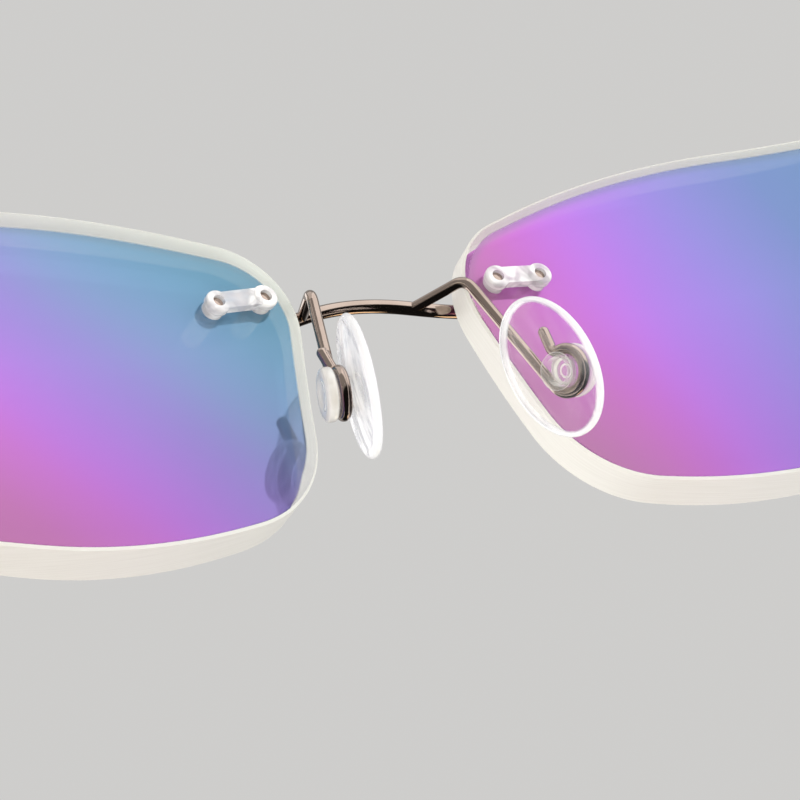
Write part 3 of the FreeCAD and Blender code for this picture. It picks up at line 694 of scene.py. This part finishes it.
nose_rings = [pad_ring(*step) for step in NOSE_SIDE] + crowned(NOSE_SIDE[-1], NOSE_CROWN)
arm_rings = [pad_ring(*step) for step in ARM_SIDE] + crowned(ARM_SIDE[-1], ARM_CROWN)
rings = list(reversed(nose_rings)) + arm_rings
ends = [Vector((0, 0, NOSE_CROWN)) * MM, Vector((0, 0, ARM_CROWN)) * MM]
crown_depths = [MIDDLE_DEPTH - share * (MIDDLE_DEPTH - CROWN_EDGE_DEPTH)
                for share in PAD_SHARES]
nose_depths = [step[0] for step in NOSE_SIDE] + crown_depths
depths = list(reversed(nose_depths)) + [step[0] for step in ARM_SIDE] + crown_depths

for name in ("left", "right"):
    built = skin(rings, ends)
    built.transform(pad_axes)
    pad = finish_mesh(built, name + "_silicone_pad", name == "right", [silicone])
    stored = pad.data.attributes.new("rim", "FLOAT", "POINT")
    for index, depth in enumerate(depths):
        for step in range(PAD_POINTS):
            stored.data[index * PAD_POINTS + step].value = depth
    for index in (1, 2):
        stored.data[-index].value = MIDDLE_DEPTH
    pad.data.shade_smooth()
    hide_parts(name + "_nose_pad")
    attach(pad, name + "_pad")


# ---------------------------------------------------------------- pad cores
# A core of clear polycarbonate under each pad: a foot cast into the pad, a hollow post with
# the mark of its gate at the bottom of the bore, and a button that keeps it in its loop.
POST_DROP = 0.5
CORE_POINTS = 64
CORE_CREASE = math.radians(50)
# Radius, level out from the pad's middle plane, both in millimetres, and how white the wall is
# painted there, a painted highlight for a clear wall that looks bright seen end on, round the
# whole section.
CORE_SECTION = ((0.30, 1.25, 0.0), (0.42, 1.25, 0.1), (0.48, 1.24, 0.8), (0.60, 1.24, 0.8),
                (0.66, 1.25, 0.1), (0.90, 1.25, 0.0), (0.98, 1.22, 0.9), (1.12, 1.14, 0.95),
                (1.16, 1.00, 0.5), (1.17, 0.80, 0.0), (1.17, 0.00, 0.0), (1.19, -0.14, 0.0),
                (1.25, -0.20, 0.1), (1.50, -0.20, 0.1), (1.59, -0.12, 0.15), (1.60, 0.12, 0.15),
                (1.53, 0.19, 0.1), (1.38, 0.20, 0.1), (1.30, 0.28, 0.1), (1.30, 1.82, 0.1),
                (1.36, 1.91, 0.2), (1.95, 1.91, 0.2), (2.13, 1.97, 0.5), (2.23, 2.12, 0.7),
                (2.25, 2.32, 0.7), (2.25, 2.52, 0.7), (2.20, 2.72, 0.7), (2.05, 2.86, 0.4),
                (1.80, 2.91, 0.2), (1.20, 2.91, 0.2), (1.02, 2.82, 0.5), (0.60, 2.78, 0.2))
# The levels of the bore's bottom and of the button's middle.
CORE_ENDS = (1.25, 2.78)

# Clear moulded polycarbonate: ivory clear, with flow marks about 1.4 mm across, brightest where
# its walls are seen end on, and with rings of painted highlight stored on the core.
polycarbonate, tree = new_material("clear moulded polycarbonate")
place = add(tree, "ShaderNodeTexCoord")
flow = add(tree, "ShaderNodeTexNoise", {"Vector": place.outputs["Object"], "Scale": 700.0,
                                        "Detail": 2.0, "Distortion": 1.0})
tint = add(tree, "ShaderNodeMix", {0: flow.outputs["Fac"], 6: colour("e4dfd6"),
                                   7: colour("fffefa")}, data_type="RGBA")
facing = add(tree, "ShaderNodeLayerWeight", {"Blend": 0.45})
edge_on = add(tree, "ShaderNodeMapRange", {"Value": facing.outputs["Facing"], "From Min": 0.3,
                                           "From Max": 0.9, "To Min": 0.08, "To Max": 0.95})
# Painted highlight: where the stored rings say so, the clear wall is drawn opaque white.
wall = add(tree, "ShaderNodeAttribute", attribute_name="white")
cover = add(tree, "ShaderNodeMath", {0: edge_on.outputs[0], 1: wall.outputs["Fac"]},
            operation="MAXIMUM")
surface = add(tree, "ShaderNodeBsdfPrincipled", {
    "Base Color": tint.outputs[2], "Roughness": 0.06, "IOR": 1.585, "Coat Weight": 1.0,
    "Coat Roughness": 0.03})
clear = add(tree, "ShaderNodeBsdfTransparent")
both = add(tree, "ShaderNodeMixShader", {0: cover.outputs[0], 1: clear.outputs[0],
                                         2: surface.outputs[0]})
add(tree, "ShaderNodeOutputMaterial", {"Surface": both.outputs[0]})

turns = [2 * math.pi * index / CORE_POINTS for index in range(CORE_POINTS)]
rings = [[Vector((radius * math.cos(turn), radius * math.sin(turn) - POST_DROP, level)) * MM
          for turn in turns] for radius, level, _ in CORE_SECTION]
ends = [Vector((0, -POST_DROP, level)) * MM for level in CORE_ENDS]

for name in ("left", "right"):
    built = skin(rings, ends)
    built.transform(pad_axes)
    core = finish_mesh(built, name + "_core_and_button", name == "right", [polycarbonate])
    # The painted highlight's whiteness for each ring of the section.
    stored = core.data.attributes.new("white", "FLOAT", "POINT")
    for index, (_, _, whiteness) in enumerate(CORE_SECTION):
        for step in range(CORE_POINTS):
            stored.data[index * CORE_POINTS + step].value = whiteness
    core.data.shade_smooth()
    core.data.set_sharp_from_angle(angle=CORE_CREASE)
    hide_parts(name + "_pad_core")
    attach(core, name + "_pad")


# ---------------------------------------------------------------- end pieces and hinges
# At the outer edge of each lens a bent wire with two pins runs back to a small block with
# two knuckles. The temple's leaf carries the middle knuckle, and a slotted screw is the pivot.
# Polished nickel silver: a paler, softer shine than the wire's.
nickel = make_metal("polished nickel silver", "d8cfc5", "c4b9ad", roughness=0.3, mark=0.3,
                    depth=0.006)
for node in ("left_end_piece", "right_end_piece", "left_hinge_leaf", "right_hinge_leaf"):
    dress(node, nickel)

HINGE = Vector((64.0799, -54.1459, 22.0239)) * MM

# Turned stainless steel: fine rings round the screw's axis, 0.2 mm apart so that they show.
# Both hinges fall in one quarter when their signs are dropped, and the rings are centred there.
turned_steel, tree = new_material("turned stainless steel")
place = add(tree, "ShaderNodeTexCoord")
both_sides = add(tree, "ShaderNodeVectorMath", {0: place.outputs["Object"]},
                 operation="ABSOLUTE")
centred = add(tree, "ShaderNodeMapping", {"Vector": both_sides.outputs[0],
                                          "Location": (-HINGE.x, HINGE.y, 0)})
rings = add(tree, "ShaderNodeTexWave", {"Vector": centred.outputs[0], "Scale": 1600.0,
                                        "Distortion": 0.4},
            wave_type="RINGS", rings_direction="Z")
cut = add(tree, "ShaderNodeMapRange", {"Value": rings.outputs["Fac"], "To Min": 0.22,
                                       "To Max": 0.4})
tint = add(tree, "ShaderNodeMix", {0: rings.outputs["Fac"], 6: colour("a9a9ac"),
                                   7: colour("cfcfd1")}, data_type="RGBA")
surface = add(tree, "ShaderNodeBsdfPrincipled", {
    "Base Color": tint.outputs[2], "Metallic": 1.0, "Roughness": cut.outputs[0]})
add(tree, "ShaderNodeOutputMaterial", {"Surface": surface.outputs[0]})
for node in ("left_hinge_screw", "right_hinge_screw"):
    dress(node, turned_steel)


# ---------------------------------------------------------------- temples
# A sprung titanium wire runs back from each hinge, rises a little and bends down behind the
# ear. Its end is inside a soft sleeve of milky silicone with a thinner cuff in front.
# Polished titanium again, drawn thicker: a bright warm line with a soft edge.
temple_wire = make_metal("polished titanium temple wire", "cbbdb3", "b3a398", roughness=0.16,
                         mark=0.3, depth=0.004)
for node in ("left_temple_wire", "right_temple_wire"):
    dress(node, temple_wire)

EAR_BEND = Vector((64.0799, 38.8542, 29.5398)) * MM
TIP_END = Vector((64.0799, 71.794, 1.9)) * MM
WIRE_START = 1.8 * MM
EAR_RADIUS = 24 * MM
TIP_BEFORE_BEND = 18 * MM
CUFF_LENGTH = 3 * MM
CUFF_RADIUS = 1.35 * MM
CUFF_STEP = 0.5 * MM
TIP_RADIUS = 1.9 * MM
TIP_SIDES = 40
TIP_STEP = 0.2 * MM
TIP_WELD = 0.005 * MM
TIP_CREASE = math.radians(40)

# Milky silicone: half clear, soft, with the dust-fine matt of a blasted mould drawn at 0.2 mm
# and a cloudiness of about 6 mm.
milky, tree = new_material("milky soft silicone")
place = add(tree, "ShaderNodeTexCoord")
cloud = add(tree, "ShaderNodeTexNoise", {"Vector": place.outputs["Object"], "Scale": 160.0})
tint = add(tree, "ShaderNodeMix", {0: cloud.outputs["Fac"], 6: colour("d3d6dc"),
                                   7: colour("eceef1")}, data_type="RGBA")
grain = add(tree, "ShaderNodeTexNoise", {"Vector": place.outputs["Object"], "Scale": 5000.0})
rough = add(tree, "ShaderNodeMapRange", {"Value": grain.outputs["Fac"], "To Min": 0.36,
                                         "To Max": 0.56})
matt = add(tree, "ShaderNodeBump", {"Height": grain.outputs["Fac"], "Strength": 0.25,
                                    "Distance": 0.01 * MM})
surface = add(tree, "ShaderNodeBsdfPrincipled", {
    "Base Color": tint.outputs[2], "Roughness": rough.outputs[0], "IOR": 1.41,
    "Normal": matt.outputs[0]})
through = add(tree, "ShaderNodeBsdfTranslucent", {"Color": tint.outputs[2]})
soft = add(tree, "ShaderNodeMixShader", {0: 0.3, 1: surface.outputs[0], 2: through.outputs[0]})
clear = add(tree, "ShaderNodeBsdfTransparent")
cover = add(tree, "ShaderNodeMapRange", {"Value": cloud.outputs["Fac"], "To Min": 0.72,
                                         "To Max": 0.88})
both = add(tree, "ShaderNodeMixShader", {0: cover.outputs[0], 1: clear.outputs[0],
                                         2: soft.outputs[0]})
add(tree, "ShaderNodeOutputMaterial", {"Surface": both.outputs[0]})

# The sleeve follows its path: a thin cuff, a smooth step up to the full round, and a round end.
sleeve, sockets = bpy.data.node_groups.new("sleeve along a wire", "GeometryNodeTree"), {}
sleeve.interface.new_socket("Geometry", in_out="OUTPUT", socket_type="NodeSocketGeometry")
sleeve.interface.new_socket("Geometry", in_out="INPUT", socket_type="NodeSocketGeometry")
for label in ("Bend Radius", "Cuff Length", "Cuff Radius", "Cuff Step", "Radius"):
    sockets[label] = sleeve.interface.new_socket(
        label, in_out="INPUT", socket_type="NodeSocketFloat").identifier
given = add(sleeve, "NodeGroupInput")
bent = add(sleeve, "GeometryNodeFilletCurve", {
    "Curve": given.outputs["Geometry"], "Count": TIP_SIDES,
    "Radius": given.outputs["Bend Radius"]}, mode="POLY")
even = add(sleeve, "GeometryNodeResampleCurve", {"Curve": bent.outputs[0],
                                                 "Length": TIP_STEP}, mode="LENGTH")
reached = add(sleeve, "GeometryNodeSplineParameter")
whole = add(sleeve, "GeometryNodeSplineLength")
step_end = add(sleeve, "ShaderNodeMath", {0: given.outputs["Cuff Length"],
                                          1: given.outputs["Cuff Step"]}, operation="ADD")
grown = add(sleeve, "ShaderNodeMapRange", {
    "Value": reached.outputs["Length"], "From Min": given.outputs["Cuff Length"],
    "From Max": step_end.outputs[0], "To Min": given.outputs["Cuff Radius"],
    "To Max": given.outputs["Radius"]}, interpolation_type="SMOOTHSTEP")
left_over = add(sleeve, "ShaderNodeMath", {0: whole.outputs["Length"],
                                           1: reached.outputs["Length"]}, operation="SUBTRACT")
in_end = add(sleeve, "ShaderNodeMath", {0: given.outputs["Radius"], 1: left_over.outputs[0]},
             operation="SUBTRACT")
in_end = add(sleeve, "ShaderNodeMath", {0: in_end.outputs[0], 1: 0.0}, operation="MAXIMUM")
share = add(sleeve, "ShaderNodeMath", {0: in_end.outputs[0], 1: given.outputs["Radius"]},
            operation="DIVIDE")
square = add(sleeve, "ShaderNodeMath", {0: share.outputs[0], 1: share.outputs[0]},
             operation="MULTIPLY")
rest = add(sleeve, "ShaderNodeMath", {0: 1.0, 1: square.outputs[0]}, operation="SUBTRACT")
round_end = add(sleeve, "ShaderNodeMath", {0: rest.outputs[0]}, operation="SQRT")
radius = add(sleeve, "ShaderNodeMath", {0: grown.outputs[0], 1: round_end.outputs[0]},
             operation="MULTIPLY")
circle = add(sleeve, "GeometryNodeCurvePrimitiveCircle", {"Resolution": TIP_SIDES,
                                                          "Radius": 1.0})
tube = add(sleeve, "GeometryNodeCurveToMesh", {
    "Curve": even.outputs[0], "Profile Curve": circle.outputs["Curve"],
    "Scale": radius.outputs[0], "Fill Caps": True})
closed = add(sleeve, "GeometryNodeMergeByDistance", {"Geometry": tube.outputs[0],
                                                     "Distance": TIP_WELD})
real = add(sleeve, "GeometryNodeRealizeInstances", {0: closed.outputs[0]})
finished = add(sleeve, "GeometryNodeSetMaterial", {"Geometry": real.outputs[0],
                                                   "Material": milky})
add(sleeve, "NodeGroupOutput", {0: finished.outputs[0]})

# The sleeve starts on the straight part of the wire, with its cuff first.
forwards = (HINGE + Vector((0, WIRE_START, 0)) - EAR_BEND).normalized()
corners = [EAR_BEND + forwards * (TIP_BEFORE_BEND + CUFF_LENGTH), EAR_BEND, TIP_END]

for name, flip in (("left", 1), ("right", -1)):
    path = bpy.data.curves.new(name + "_tip_path", "CURVE")
    path.dimensions = "3D"
    spline = path.splines.new("POLY")
    spline.points.add(len(corners) - 1)
    for point, corner in zip(spline.points, corners):
        point.co = (corner.x * flip, corner.y, corner.z, 1)
    guide = bpy.data.objects.new(name + "_tip_path", path)
    bpy.context.scene.collection.objects.link(guide)
    follow = guide.modifiers.new("sleeve", "NODES")
    follow.node_group = sleeve
    for label, size in (("Bend Radius", EAR_RADIUS), ("Cuff Length", CUFF_LENGTH),
                        ("Cuff Radius", CUFF_RADIUS), ("Cuff Step", CUFF_STEP),
                        ("Radius", TIP_RADIUS)):
        follow[sockets[label]] = size
    seen = guide.evaluated_get(bpy.context.evaluated_depsgraph_get())
    tip_mesh = bpy.data.meshes.new_from_object(seen)
    bpy.data.objects.remove(guide)
    tip_mesh.shade_smooth()
    tip_mesh.set_sharp_from_angle(angle=TIP_CREASE)
    tip = bpy.data.objects.new(name + "_ear_sleeve", tip_mesh)
    bpy.context.scene.collection.objects.link(tip)
    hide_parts(name + "_temple_tip")
    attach(tip, name + "_temple")
